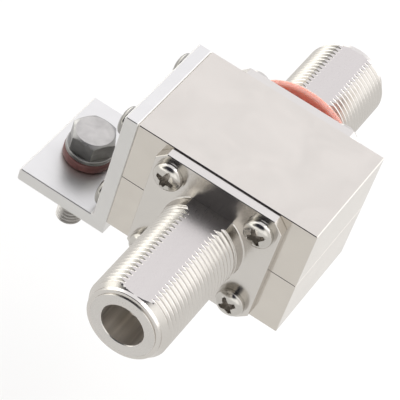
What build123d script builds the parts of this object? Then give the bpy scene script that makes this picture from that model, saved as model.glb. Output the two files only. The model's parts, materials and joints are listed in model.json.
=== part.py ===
from build123d import *
import os
from math import cos, radians, tan

# Coax lightning arrestor: a split housing between two flanged threaded jacks,
# with an L-shaped grounding bracket on its left side. Millimetres.
# X runs to the right, Y along the connector axis towards the rear jack, Z up.
# The origin is on the connector axis, where the rear gasket meets a panel.

# Housing, two halves that meet on the connector axis
BODY_WIDTH = 36.0
BODY_DEPTH = 25.0
UPPER_HEIGHT = 13.0
LOWER_HEIGHT = 12.4
BODY_EDGE = 0.12
SEAM_EDGE = 0.08

# Chamber inside the housing, and the well that locates the gas tube
CHAMBER_WIDTH = 14.0
CHAMBER_DEPTH = 12.4
CHAMBER_TOP = 6.0
CHAMBER_FLOOR = 7.0
CHAMBER_CORNER = 2.0
PASSAGE_DIA = 7.0
WELL_FLOOR = 9.4

# Flanged jack, front and rear, apart from the length of the plain collar
FLANGE_SIDE = 25.4
FLANGE_THICKNESS = 2.0
FLANGE_CORNER = 1.9
FLANGE_EDGE = 0.2
JACK_REACH = 26.0
THREAD_DIA = 15.875
FLAT_HEIGHT = 7.05
COLLAR_DIA = 16.2
FRONT_COLLAR_LENGTH = 2.3
COLLAR_FILLET = 0.3
LEAD_CONE_LENGTH = 1.4
LEAD_CONE_DIA = 13.0
MOUTH_LIP_DIA = 12.5
MOUTH_LIP_LENGTH = 0.25
SOCKET_DIA = 8.2
SOCKET_DEPTH = 9.6
SOCKET_CHAMFER = 0.25
INSULATOR_DIA = 10.4

# Centre contact
CONTACT_DIA = 3.05
CONTACT_RECESS = 4.2
CONTACT_BORE_DIA = 1.7
CONTACT_BORE_DEPTH = 6.0
CONTACT_SLOT_WIDTH = 0.3
CONTACT_SLOT_LENGTH = 4.6
CONTACT_TIP_ROUND = 0.3
CONTACT_COLLAR_DIA = 4.6
CONTACT_COLLAR_LENGTH = 0.8
TAIL_DIA = 2.4
TAIL_LENGTH = 3.0

# Through conductor and gas tube
CONDUCTOR_WIDTH = 6.0
CONDUCTOR_HEIGHT = 5.0
CONDUCTOR_EDGE = 0.3
GAS_TUBE_DIA = 8.0
GAS_TUBE_LENGTH = 6.0
ELECTRODE_THICKNESS = 0.6
ELECTRODE_STUB_DIA = 3.2
SPARK_GAP = 0.8
CERAMIC_WALL = 1.1
SPRING_THICKNESS = 0.35
SPRING_HOLE_DIA = 3.0

# Flange screws and bracket screws
SCREW_SPACING = 18.26
SCREW_DIA = 3.0
SCREW_HEAD_DIA = 5.5
SCREW_HEAD_HEIGHT = 1.7
SCREW_HEAD_RIM = 0.5
SCREW_GRIP = 5.0
SCREW_HOLE_SPARE = 0.6
SCREW_CLEARANCE_HOLE = 3.4
RECESS_WIDTH = 2.7
RECESS_BLADE = 0.75
RECESS_DEPTH = 1.0
LOCK_WASHER_DIA = 5.9
LOCK_WASHER_THICKNESS = 0.6
LOCK_WASHER_SPLIT = 0.6

# Panel gasket on the rear collar, against the rear screw heads
GASKET_MARGIN = 0.32
GASKET_THICKNESS = 1.5
GASKET_ROUND = 0.3

# Grounding bracket
BRACKET_THICKNESS = 2.8
BRACKET_DROP = 15.45
TAB_LENGTH = 15.9
BRACKET_EDGE = 0.3
BRACKET_RIM_EDGE = 0.12
BRACKET_INNER_RADIUS = 0.6
GROUND_HOLE_DIA = 5.4
GROUND_HOLE_FROM_PLATE = 8.7
GROUND_HOLE_OFFSET = -0.9

# Ground bolt, its washers and its nut
BOLT_DIA = 5.0
BOLT_LENGTH = 20.0
BOLT_END_CHAMFER = 0.5
BOLT_THREAD_PITCH = 0.8
HEX_FLATS = 7.8
BOLT_HEAD_HEIGHT = 3.5
NUT_HEIGHT = 4.0
HEX_CHAMFER_ANGLE = 30.0
FLAT_WASHER_DIA = 9.2
FLAT_WASHER_THICKNESS = 1.0
SEAL_WASHER_DIA = 9.6
SEAL_WASHER_THICKNESS = 1.9
NUT_LOCK_WASHER_DIA = 8.8
NUT_LOCK_WASHER_THICKNESS = 1.2
NUT_LOCK_WASHER_SPLIT = 0.9

# Clearances, all radial unless named otherwise
SCREW_FIT = 0.03
INSULATOR_FIT = 0.03
CONTACT_FIT = 0.02
TAIL_FIT = 0.02
TUBE_FIT = 0.15
GASKET_FIT = 0.05
WASHER_FIT = 0.1
CUT_SPARE = 1.0

# Places that follow from the sizes above
JACK_LENGTH = FLANGE_THICKNESS + JACK_REACH
HEAD_STAND = LOCK_WASHER_THICKNESS + SCREW_HEAD_HEIGHT
GASKET_DIA = SCREW_SPACING + SCREW_HEAD_DIA + 2 * GASKET_MARGIN
REAR_COLLAR_LENGTH = HEAD_STAND + GASKET_THICKNESS
REAR_FACE = -(REAR_COLLAR_LENGTH + FLANGE_THICKNESS)
BODY_CENTRE = REAR_FACE - BODY_DEPTH / 2
FRONT_FACE = REAR_FACE - BODY_DEPTH
LEFT_FACE = -BODY_WIDTH / 2
PLATE_FACE = LEFT_FACE - BRACKET_THICKNESS
TAB_TOP = BRACKET_THICKNESS - BRACKET_DROP
SCREW_HOLE_RADIUS = SCREW_DIA / 2 + SCREW_FIT
SCREW_HOLE_DEPTH = SCREW_GRIP + SCREW_HOLE_SPARE
BOLT_X = PLATE_FACE - GROUND_HOLE_FROM_PLATE
BOLT_Y = BODY_CENTRE + GROUND_HOLE_OFFSET
BOLT_PITCH_DIA = BOLT_DIA - 0.65 * BOLT_THREAD_PITCH
NUT_TOP = -BRACKET_DROP - NUT_LOCK_WASHER_THICKNESS
NUT_BOTTOM = NUT_TOP - NUT_HEIGHT
TUBE_TOP = -CONDUCTOR_HEIGHT / 2
TUBE_FOOT = TUBE_TOP - GAS_TUBE_LENGTH
CONDUCTOR_LENGTH = CHAMBER_DEPTH - 2 * CONTACT_COLLAR_LENGTH


def box_between(low, high):
    """Box with its lowest and highest corners at the two points."""
    size = [b - a for a, b in zip(low, high)]
    middle = [(a + b) / 2 for a, b in zip(low, high)]
    return Pos(*middle) * Box(*size)


def turned_y(corners):
    """Solid turned about the Y axis from (radius, y) corners."""
    return revolve(make_face(Polyline(*corners, close=True)), Axis.Y)


def turned_z(corners):
    """Solid turned about the Z axis from (radius, z) corners."""
    outline = Polyline(*[(radius, 0, height) for radius, height in corners], close=True)
    return revolve(make_face(outline), Axis.Z)


def upright(radius, low, high):
    """Cylinder along Z between two heights."""
    return Pos(0, 0, (low + high) / 2) * Cylinder(radius, high - low)


def along_y(radius, low, high):
    """Cylinder along Y between two stations."""
    return Pos(0, (low + high) / 2, 0) * Rot(90, 0, 0) * Cylinder(radius, high - low)


def along_x(radius, low, high):
    """Cylinder along X between two stations."""
    return Pos((low + high) / 2, 0, 0) * Rot(0, 90, 0) * Cylinder(radius, high - low)


def square_corners(spacing):
    """The four corners of a square of the given side, centred on zero."""
    half = spacing / 2
    return [(a * half, b * half) for a in (-1, 1) for b in (-1, 1)]


def rear_facing(shape):
    """Places a shape modelled off the body's face at y = 0 on the rear face."""
    return Pos(0, REAR_FACE, 0) * shape


def front_facing(shape):
    """The same shape mirrored onto the front face."""
    return Pos(0, FRONT_FACE, 0) * mirror(shape, about=Plane.XZ)


def flange_hole_solids():
    """Tapped holes for one flange's screws, going into the body from y = 0."""
    hole = along_y(SCREW_HOLE_RADIUS, -SCREW_HOLE_DEPTH, CUT_SPARE)
    return [Pos(x, 0, z) * hole for x, z in square_corners(SCREW_SPACING)]


def bracket_hole_solids(radius, depth):
    """Holes for the bracket's screws, from beyond the plate into the body."""
    hole = along_x(radius, PLATE_FACE - CUT_SPARE, LEFT_FACE + depth)
    corners = square_corners(SCREW_SPACING)
    return [Pos(0, BODY_CENTRE + y, z) * hole for y, z in corners]


def chamber():
    """Hollow inside the housing: rounded chamber, coax passages and tube well."""
    room = box_between(
        (-CHAMBER_WIDTH / 2, BODY_CENTRE - CHAMBER_DEPTH / 2, -CHAMBER_FLOOR),
        (CHAMBER_WIDTH / 2, BODY_CENTRE + CHAMBER_DEPTH / 2, CHAMBER_TOP),
    )
    room = fillet(room.edges().filter_by(Axis.Z), CHAMBER_CORNER)
    passage = along_y(PASSAGE_DIA / 2, FRONT_FACE - CUT_SPARE, REAR_FACE + CUT_SPARE)
    well_radius = GAS_TUBE_DIA / 2 + TUBE_FIT
    well = Pos(0, BODY_CENTRE, 0) * upright(well_radius, -WELL_FLOOR, 0)
    return room + passage + well


def level_face(block, top):
    """The highest or the lowest level face of a block."""
    return block.faces().filter_by(Axis.Z).sort_by(Axis.Z)[-1 if top else 0]


def body_half(low, high):
    """One half of the housing between two heights, hollowed and drilled."""
    block = box_between(
        (LEFT_FACE, FRONT_FACE, low),
        (-LEFT_FACE, REAR_FACE, high),
    )
    block = chamfer(block.edges().filter_by(Axis.Z), BODY_EDGE)
    upper_half = high > 0
    block = chamfer(level_face(block, upper_half).edges(), BODY_EDGE)
    block = chamfer(level_face(block, not upper_half).edges(), SEAM_EDGE)
    block = block - chamber()
    for hole in flange_hole_solids():
        block = block - rear_facing(hole) - front_facing(hole)
    for hole in bracket_hole_solids(SCREW_HOLE_RADIUS, SCREW_HOLE_DEPTH):
        block = block - hole
    return block


def barrel(collar_length):
    """Threaded barrel turned from its collar to its mouth, with its bores."""
    thread = THREAD_DIA / 2
    collar_end = FLANGE_THICKNESS + collar_length
    cone_end = JACK_LENGTH - MOUTH_LIP_LENGTH
    socket_floor = JACK_LENGTH - SOCKET_DEPTH
    return turned_y([
        (INSULATOR_DIA / 2, 0),
        (COLLAR_DIA / 2, 0),
        (COLLAR_DIA / 2, collar_end),
        (thread, collar_end),
        (thread, cone_end - LEAD_CONE_LENGTH),
        (LEAD_CONE_DIA / 2, cone_end),
        (MOUTH_LIP_DIA / 2, cone_end),
        (MOUTH_LIP_DIA / 2, JACK_LENGTH),
        (SOCKET_DIA / 2 + SOCKET_CHAMFER, JACK_LENGTH),
        (SOCKET_DIA / 2, JACK_LENGTH - SOCKET_CHAMFER),
        (SOCKET_DIA / 2, socket_floor),
        (INSULATOR_DIA / 2, socket_floor),
    ])


def flange():
    """Square flange with chamfered corners, its centre open for the barrel."""
    half = FLANGE_SIDE / 2
    plate = box_between((-half, 0, -half), (half, FLANGE_THICKNESS, half))
    plate = chamfer(plate.edges().filter_by(Axis.Y), FLANGE_CORNER)
    plate = chamfer(plate.faces().sort_by(Axis.Y)[-1].edges(), FLANGE_EDGE)
    plate = plate - along_y(INSULATOR_DIA / 2, -CUT_SPARE, FLANGE_THICKNESS + CUT_SPARE)
    hole = along_y(SCREW_CLEARANCE_HOLE / 2, -CUT_SPARE, FLANGE_THICKNESS + CUT_SPARE)
    for x, z in square_corners(SCREW_SPACING):
        plate = plate - Pos(x, 0, z) * hole
    return plate


def jack(collar_length):
    """Flange and barrel in one piece, the flat milled along its top up to the flange."""
    piece = flange() + barrel(collar_length)
    foot = piece.edges().filter_by(GeomType.CIRCLE).filter_by(
        lambda edge: abs(edge.radius - COLLAR_DIA / 2) < 1e-6
        and abs(edge.center().Y - FLANGE_THICKNESS) < 1e-6
    )
    piece = fillet(foot, COLLAR_FILLET)
    flat = box_between(
        (-THREAD_DIA, FLANGE_THICKNESS, FLAT_HEIGHT),
        (THREAD_DIA, JACK_LENGTH + CUT_SPARE, THREAD_DIA),
    )
    return piece - flat


def insulator():
    """Insulator behind the socket, from the jack's shoulder to the body's face."""
    inner = CONTACT_DIA / 2 + CONTACT_FIT
    outer = INSULATOR_DIA / 2 - INSULATOR_FIT
    floor = JACK_LENGTH - SOCKET_DEPTH
    return turned_y([(inner, 0), (outer, 0), (outer, floor), (inner, floor)])


def contact():
    """Slotted centre contact: split socket, shank, collar and solder tail."""
    tip = JACK_LENGTH - CONTACT_RECESS
    outer = CONTACT_DIA / 2
    bore = CONTACT_BORE_DIA / 2
    collar = CONTACT_COLLAR_DIA / 2
    passage_length = (BODY_DEPTH - CHAMBER_DEPTH) / 2
    collar_low = -passage_length - CONTACT_COLLAR_LENGTH
    tail_low = collar_low - TAIL_LENGTH
    pin = turned_y([
        (0, tail_low),
        (TAIL_DIA / 2, tail_low),
        (TAIL_DIA / 2, collar_low),
        (collar, collar_low),
        (collar, -passage_length),
        (outer, -passage_length),
        (outer, tip - CONTACT_TIP_ROUND),
        (outer - CONTACT_TIP_ROUND, tip),
        (bore, tip),
        (bore, tip - CONTACT_BORE_DEPTH),
        (0, tip - CONTACT_BORE_DEPTH - bore),
    ])
    slot = box_between(
        (-outer - CUT_SPARE, tip - CONTACT_SLOT_LENGTH, -CONTACT_SLOT_WIDTH / 2),
        (outer + CUT_SPARE, tip + CUT_SPARE, CONTACT_SLOT_WIDTH / 2),
    )
    for turn in (45, 135):
        pin = pin - Rot(0, turn, 0) * slot
    return pin


def through_conductor():
    """Bar between the two contact tails, with a hole for each tail."""
    half = CONDUCTOR_LENGTH / 2
    bar = Pos(0, BODY_CENTRE, 0) * Box(CONDUCTOR_WIDTH, CONDUCTOR_LENGTH, CONDUCTOR_HEIGHT)
    bar = chamfer(bar.edges().filter_by(Axis.Y), CONDUCTOR_EDGE)
    radius = TAIL_DIA / 2 + TAIL_FIT
    for end in (-1, 1):
        mouth = BODY_CENTRE + end * (half + CUT_SPARE)
        floor = BODY_CENTRE + end * (half - TAIL_LENGTH - TAIL_FIT)
        bar = bar - along_y(radius, min(mouth, floor), max(mouth, floor))
    return bar


def gas_tube_electrodes():
    """Two end discs whose stubs face each other across the spark gap."""
    outer = GAS_TUBE_DIA / 2
    stub = ELECTRODE_STUB_DIA / 2
    middle = (TUBE_TOP + TUBE_FOOT) / 2
    upper = turned_z([
        (0, TUBE_TOP),
        (outer, TUBE_TOP),
        (outer, TUBE_TOP - ELECTRODE_THICKNESS),
        (stub, TUBE_TOP - ELECTRODE_THICKNESS),
        (stub, middle + SPARK_GAP / 2),
        (0, middle + SPARK_GAP / 2),
    ])
    lower = turned_z([
        (0, TUBE_FOOT),
        (outer, TUBE_FOOT),
        (outer, TUBE_FOOT + ELECTRODE_THICKNESS),
        (stub, TUBE_FOOT + ELECTRODE_THICKNESS),
        (stub, middle - SPARK_GAP / 2),
        (0, middle - SPARK_GAP / 2),
    ])
    return [Pos(0, BODY_CENTRE, 0) * piece for piece in (upper, lower)]


def gas_tube_ceramic():
    """Ceramic ring between the two electrode discs."""
    outer = GAS_TUBE_DIA / 2
    inner = outer - CERAMIC_WALL
    low = TUBE_FOOT + ELECTRODE_THICKNESS
    high = TUBE_TOP - ELECTRODE_THICKNESS
    ring = turned_z([(inner, low), (outer, low), (outer, high), (inner, high)])
    return Pos(0, BODY_CENTRE, 0) * ring


def tube_spring():
    """Dished spring disc, its rim on the well's floor and its hole on the tube."""
    outer = GAS_TUBE_DIA / 2
    inner = SPRING_HOLE_DIA / 2
    floor = -WELL_FLOOR
    disc = turned_z([
        (inner, TUBE_FOOT - SPRING_THICKNESS),
        (inner, TUBE_FOOT),
        (outer, floor + SPRING_THICKNESS),
        (outer, floor),
    ])
    return Pos(0, BODY_CENTRE, 0) * disc


def screw():
    """Pan head screw along Y: under-head face at y = 0, shank towards -Y."""
    radius = SCREW_HEAD_DIA / 2
    rise = SCREW_HEAD_HEIGHT - SCREW_HEAD_RIM
    foot = Polyline((0, SCREW_HEAD_HEIGHT), (0, 0), (radius, 0), (radius, SCREW_HEAD_RIM))
    dome = EllipticalCenterArc((0, SCREW_HEAD_RIM), radius, rise, start_angle=0, arc_size=90)
    head = revolve(make_face(foot + dome), Axis.Y)
    cut_floor = SCREW_HEAD_HEIGHT - RECESS_DEPTH
    arm = (RECESS_WIDTH / 2, SCREW_HEAD_HEIGHT + CUT_SPARE, RECESS_BLADE / 2)
    cross_arm = box_between((-arm[0], cut_floor, -arm[2]), arm)
    head = head - cross_arm - Rot(0, 90, 0) * cross_arm
    return head


def screw_with_shank(under_head):
    """The screw with a shank that reaches through what it clamps into the body."""
    shank = along_y(SCREW_DIA / 2, -under_head - SCREW_GRIP, 0)
    return screw() + shank


def split_washer(outer_dia, inner_dia, thickness, split):
    """Flat ring along Y from y = 0, cut through at one place."""
    ring = along_y(outer_dia / 2, 0, thickness)
    ring = ring - along_y(inner_dia / 2, -CUT_SPARE, thickness + CUT_SPARE)
    gap = box_between((0, -CUT_SPARE, -split / 2), (outer_dia, thickness + CUT_SPARE, split / 2))
    return ring - gap


def flange_screws():
    """Four screws standing on their lock washers on one flange."""
    stand = FLANGE_THICKNESS + LOCK_WASHER_THICKNESS
    piece = Pos(0, stand, 0) * screw_with_shank(stand)
    return [Pos(x, 0, z) * piece for x, z in square_corners(SCREW_SPACING)]


def flange_lock_washers():
    """Four split lock washers on one flange, their splits turned outwards."""
    washer = split_washer(
        LOCK_WASHER_DIA, SCREW_DIA + 2 * WASHER_FIT, LOCK_WASHER_THICKNESS, LOCK_WASHER_SPLIT
    )
    seated = Pos(0, FLANGE_THICKNESS, 0) * Rot(0, 60, 0) * washer
    return [Pos(x, 0, z) * seated for x, z in square_corners(SCREW_SPACING)]


def bracket_screws():
    """Four screws through the bracket's plate into the body's left face."""
    piece = Rot(0, 0, 90) * screw_with_shank(BRACKET_THICKNESS)
    corners = square_corners(SCREW_SPACING)
    return [Pos(PLATE_FACE, BODY_CENTRE + y, z) * piece for y, z in corners]


def panel_gasket():
    """Soft ring on the rear collar, from the screw heads to the panel."""
    inner = COLLAR_DIA / 2 + GASKET_FIT
    outer = GASKET_DIA / 2
    ring = turned_y([(inner, -GASKET_THICKNESS), (outer, -GASKET_THICKNESS), (outer, 0), (inner, 0)])
    rims = ring.edges().filter_by(GeomType.CIRCLE).filter_by(
        lambda edge: abs(edge.radius - outer) < 1e-6
    )
    return fillet(rims, GASKET_ROUND)


def ground_bracket():
    """Angle bracket: plate on the body's left face and a tab at its foot."""
    low_y = FRONT_FACE
    high_y = REAR_FACE
    plate = box_between((PLATE_FACE, low_y, -BRACKET_DROP), (LEFT_FACE, high_y, UPPER_HEIGHT))
    tab_end = PLATE_FACE - TAB_LENGTH
    tab = box_between((tab_end, low_y, -BRACKET_DROP), (PLATE_FACE, high_y, TAB_TOP))
    bracket = plate + tab
    inner = bracket.edges().filter_by(Axis.Y).filter_by(
        lambda edge: abs(edge.center().X - PLATE_FACE) < 1e-6 and abs(edge.center().Z - TAB_TOP) < 1e-6
    )
    bracket = fillet(inner, BRACKET_INNER_RADIUS)
    outer = bracket.edges().filter_by(Axis.Y).filter_by(
        lambda edge: edge.center().X < tab_end + 1e-6 or edge.center().Z > UPPER_HEIGHT - 1e-6
    )
    bracket = chamfer(outer, BRACKET_EDGE)
    for place in (0, -1):
        end_face = bracket.faces().filter_by(Axis.Y).sort_by(Axis.Y)[place]
        bracket = chamfer(end_face.edges(), BRACKET_RIM_EDGE)
    for hole in bracket_hole_solids(SCREW_CLEARANCE_HOLE / 2, 0):
        bracket = bracket - hole
    bolt_hole = upright(GROUND_HOLE_DIA / 2, -BRACKET_DROP - CUT_SPARE, TAB_TOP + CUT_SPARE)
    return bracket - Pos(BOLT_X, BOLT_Y, 0) * bolt_hole


def hex_prism(low, high):
    """Hexagonal prism along Z with the flats of the bolt head and the nut."""
    outline = RegularPolygon(HEX_FLATS / 2, 6, major_radius=False)
    return Pos(0, 0, low) * extrude(outline, high - low)


def hex_chamfer_cone(low, high, crown_up):
    """Cone that rounds a hexagon's corners off at one end, as a turned blank."""
    slope = tan(radians(HEX_CHAMFER_ANGLE))
    crown = HEX_FLATS / 2 * 0.95
    corner = HEX_FLATS / 2 / cos(radians(30)) + CUT_SPARE
    drop = (corner - crown) * slope
    if crown_up:
        return turned_z([(0, low), (corner, low), (corner, high - drop), (crown, high), (0, high)])
    return turned_z([(0, low), (crown, low), (corner, low + drop), (corner, high), (0, high)])


def ground_bolt():
    """Hex head bolt, pointing down, at pitch diameter where the nut's thread engages."""
    under_head = TAB_TOP + SEAL_WASHER_THICKNESS + FLAT_WASHER_THICKNESS
    top = under_head + BOLT_HEAD_HEIGHT
    head = hex_prism(under_head, top) & hex_chamfer_cone(under_head, top, True)
    radius = BOLT_DIA / 2
    engaged = BOLT_PITCH_DIA / 2
    end = under_head - BOLT_LENGTH
    shank = turned_z([
        (0, under_head),
        (radius, under_head),
        (radius, NUT_TOP),
        (engaged, NUT_TOP),
        (engaged, NUT_BOTTOM),
        (radius, NUT_BOTTOM),
        (radius, end + BOLT_END_CHAMFER),
        (radius - BOLT_END_CHAMFER, end),
        (0, end),
    ])
    return Pos(BOLT_X, BOLT_Y, 0) * (head + shank)


def bolt_ring(outer_dia, low, thickness):
    """Plain ring around the ground bolt."""
    ring = upright(outer_dia / 2, low, low + thickness)
    bore = upright(BOLT_DIA / 2 + WASHER_FIT, low - CUT_SPARE, low + thickness + CUT_SPARE)
    return Pos(BOLT_X, BOLT_Y, 0) * (ring - bore)


def nut_lock_washer():
    """Split lock washer between the tab and the nut."""
    washer = split_washer(
        NUT_LOCK_WASHER_DIA,
        BOLT_DIA + 2 * WASHER_FIT,
        NUT_LOCK_WASHER_THICKNESS,
        NUT_LOCK_WASHER_SPLIT,
    )
    return Pos(BOLT_X, BOLT_Y, -BRACKET_DROP) * Rot(-90, 0, 0) * washer


def ground_nut():
    """Hex nut under the tab, chamfered on both faces."""
    nut = hex_prism(NUT_BOTTOM, NUT_TOP)
    nut = nut & hex_chamfer_cone(NUT_BOTTOM, NUT_TOP, True)
    nut = nut & hex_chamfer_cone(NUT_BOTTOM, NUT_TOP, False)
    hole_radius = BOLT_PITCH_DIA / 2 + SCREW_FIT
    nut = nut - upright(hole_radius, NUT_BOTTOM - CUT_SPARE, NUT_TOP + CUT_SPARE)
    return Pos(BOLT_X, BOLT_Y, 0) * nut


def build_nodes():
    """Every piece by node name: a shape, or a list of like pieces."""
    seal_low = TAB_TOP
    flat_low = seal_low + SEAL_WASHER_THICKNESS
    return {
        "body_upper": body_half(0, UPPER_HEIGHT),
        "body_lower": body_half(-LOWER_HEIGHT, 0),
        "front_jack": front_facing(jack(FRONT_COLLAR_LENGTH)),
        "rear_jack": rear_facing(jack(REAR_COLLAR_LENGTH)),
        "front_insulator": front_facing(insulator()),
        "rear_insulator": rear_facing(insulator()),
        "front_contact": front_facing(contact()),
        "rear_contact": rear_facing(contact()),
        "through_conductor": through_conductor(),
        "gas_tube_ceramic": gas_tube_ceramic(),
        "gas_tube_electrodes": gas_tube_electrodes(),
        "tube_spring": tube_spring(),
        "panel_gasket": panel_gasket(),
        "front_flange_screws": [front_facing(piece) for piece in flange_screws()],
        "front_lock_washers": [front_facing(piece) for piece in flange_lock_washers()],
        "rear_flange_screws": [rear_facing(piece) for piece in flange_screws()],
        "rear_lock_washers": [rear_facing(piece) for piece in flange_lock_washers()],
        "ground_bracket": ground_bracket(),
        "bracket_screws": bracket_screws(),
        "ground_bolt": ground_bolt(),
        "bolt_flat_washer": bolt_ring(FLAT_WASHER_DIA, flat_low, FLAT_WASHER_THICKNESS),
        "bolt_seal_washer": bolt_ring(SEAL_WASHER_DIA, seal_low, SEAL_WASHER_THICKNESS),
        "nut_lock_washer": nut_lock_washer(),
        "ground_nut": ground_nut(),
    }


def main():
    """Writes one STEP file per node."""
    os.makedirs("parts", exist_ok=True)
    for name, shape in build_nodes().items():
        solid = Compound(children=shape) if isinstance(shape, list) else shape
        export_step(solid, f"parts/{name}.step")


main()
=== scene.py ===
import json
from math import radians

import bmesh
import bpy
import numpy as np
from bpy.props import FloatProperty, FloatVectorProperty, PointerProperty
from mathutils import Matrix, Vector


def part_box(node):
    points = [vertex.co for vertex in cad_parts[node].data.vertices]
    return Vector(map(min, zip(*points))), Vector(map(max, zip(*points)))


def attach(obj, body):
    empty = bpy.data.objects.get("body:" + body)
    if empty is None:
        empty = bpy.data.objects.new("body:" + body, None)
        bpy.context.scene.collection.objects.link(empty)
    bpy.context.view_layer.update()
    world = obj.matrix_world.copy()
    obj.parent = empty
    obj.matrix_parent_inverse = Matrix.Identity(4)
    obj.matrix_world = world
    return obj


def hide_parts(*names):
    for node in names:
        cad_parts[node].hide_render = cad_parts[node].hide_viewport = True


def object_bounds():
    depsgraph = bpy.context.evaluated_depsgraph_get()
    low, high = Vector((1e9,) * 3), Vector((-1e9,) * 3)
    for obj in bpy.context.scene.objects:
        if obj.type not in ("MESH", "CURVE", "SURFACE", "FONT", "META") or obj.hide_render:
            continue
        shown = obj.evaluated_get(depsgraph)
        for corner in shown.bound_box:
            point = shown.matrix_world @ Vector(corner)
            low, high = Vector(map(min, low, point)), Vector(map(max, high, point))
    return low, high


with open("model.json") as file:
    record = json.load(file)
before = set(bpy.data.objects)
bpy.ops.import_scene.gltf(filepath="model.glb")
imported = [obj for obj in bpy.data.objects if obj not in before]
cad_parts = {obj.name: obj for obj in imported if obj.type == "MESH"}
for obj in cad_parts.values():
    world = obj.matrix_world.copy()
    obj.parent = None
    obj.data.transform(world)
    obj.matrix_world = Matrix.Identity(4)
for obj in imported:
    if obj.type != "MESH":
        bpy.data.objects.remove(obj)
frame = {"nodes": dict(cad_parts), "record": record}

bl_info = {
    "name": "Coax lightning arrestor",
    "version": (1, 0, 0),
    "blender": (4, 5, 0),
    "location": "View3D > Sidebar > Arrestor",
    "description": "Dresses the packed coax lightning arrestor with threads, screws and finishes",
    "category": "Object",
}

MM = 0.001
TURN = 2 * np.pi
CAD_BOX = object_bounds()

# Half of a thread's profile: how deep the groove is, as a part of its whole depth, at each
# phase, in turns. The other half is its mirror image about the middle of the root, and the
# straight flank starts at the crest's edge.
HALF_PHASES = np.array([0.0, 0.10, 0.13, 0.16, 0.44, 0.49, 0.54])
HALF_GROOVE = np.array([0.0, 0.0, 0.02, 0.065, 0.935, 0.98, 1.0])
CREST_EDGE = 0.16
ROOT_MIDDLE = 0.55

# Circle on top of a hexagon, as a part of its width across the flats
HEX_CROWN = 0.92
CROWN_ANGLE = radians(30)

# Width of a cross recess's blade at its tip, as a part of that at the middle
BLADE_TIP = 0.5

# Depths in a pan head and how far in from the edge each is reached, in millimetres. The cross
# recess is a steep outer and a slower inner part together, and the slot's is from the top.
OUTER_DEPTH, OUTER_RUN = 0.65, 0.12
INNER_DEPTH, INNER_RUN = 0.55, 0.42
SLOT_DEPTH, SLOT_RUN = 0.42, 0.1

# A face this far under the dome takes the recess's darker colour, which is painted shade
RECESS_SHADE = 0.28

# Dish in the middle of the bolt's head, in millimetres
DISH_FLOOR, DISH_RIM, DISH_DEPTH = 2.2, 3.1, 0.12

# Roundings and bevels of the jacks, in millimetres
COLLAR_FILLET = 0.3
STEP_BEVEL = 0.08
LIP_BEVEL = 0.1

# Clearances of the round holes, in millimetres
GASKET_GAP = 0.05
WASHER_GAP = 0.1
NUT_GAP = 0.03

# How finely the surfaces are divided round their axis, and along it
COLUMNS = 145
JACK_COLUMNS = 241
GASKET_COLUMNS = 193
HEX_COLUMNS = 217
HEX_ROWS = 41
DOME_ROWS = 48
FILLET_ROWS = 8
ROUNDING_ROWS = 9

# How far a face centre may be from the surface that it is looked for on, in millimetres
BORE_SLACK = 0.02
FLAT_SLACK = 0.004
END_SLACK = 0.01

# Points nearer than the first are merged, and edges shorter than the second go, in metres
MERGE = 2e-7
SHORTEST_EDGE = 1e-8

# Edges that turn by more than this look sharp
SHARP = radians(18)

# How far a finish is metal
METAL = 1.0
PART_METAL = 0.6
NO_METAL = 0.0

# Sockets of a Mix node that mixes colours
MIX_FACTOR = 0
MIX_FIRST = 6
MIX_SECOND = 7
MIX_RESULT = 2


def corners(node):
    """Lowest and highest corner of a CAD node in millimetres."""
    low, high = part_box(node)
    return np.array(low) / MM, np.array(high) / MM


def length(name, description, millimetres):
    """Size property, given in millimetres and kept in metres."""
    return FloatProperty(
        name=name,
        description=description,
        default=millimetres * MM,
        unit="LENGTH",
        subtype="DISTANCE",
        precision=5,
    )


def tint(name, description, colour):
    """Colour property."""
    return FloatVectorProperty(
        name=name,
        description=description,
        default=colour,
        size=3,
        min=0.0,
        max=1.0,
        subtype="COLOR",
    )


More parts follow.
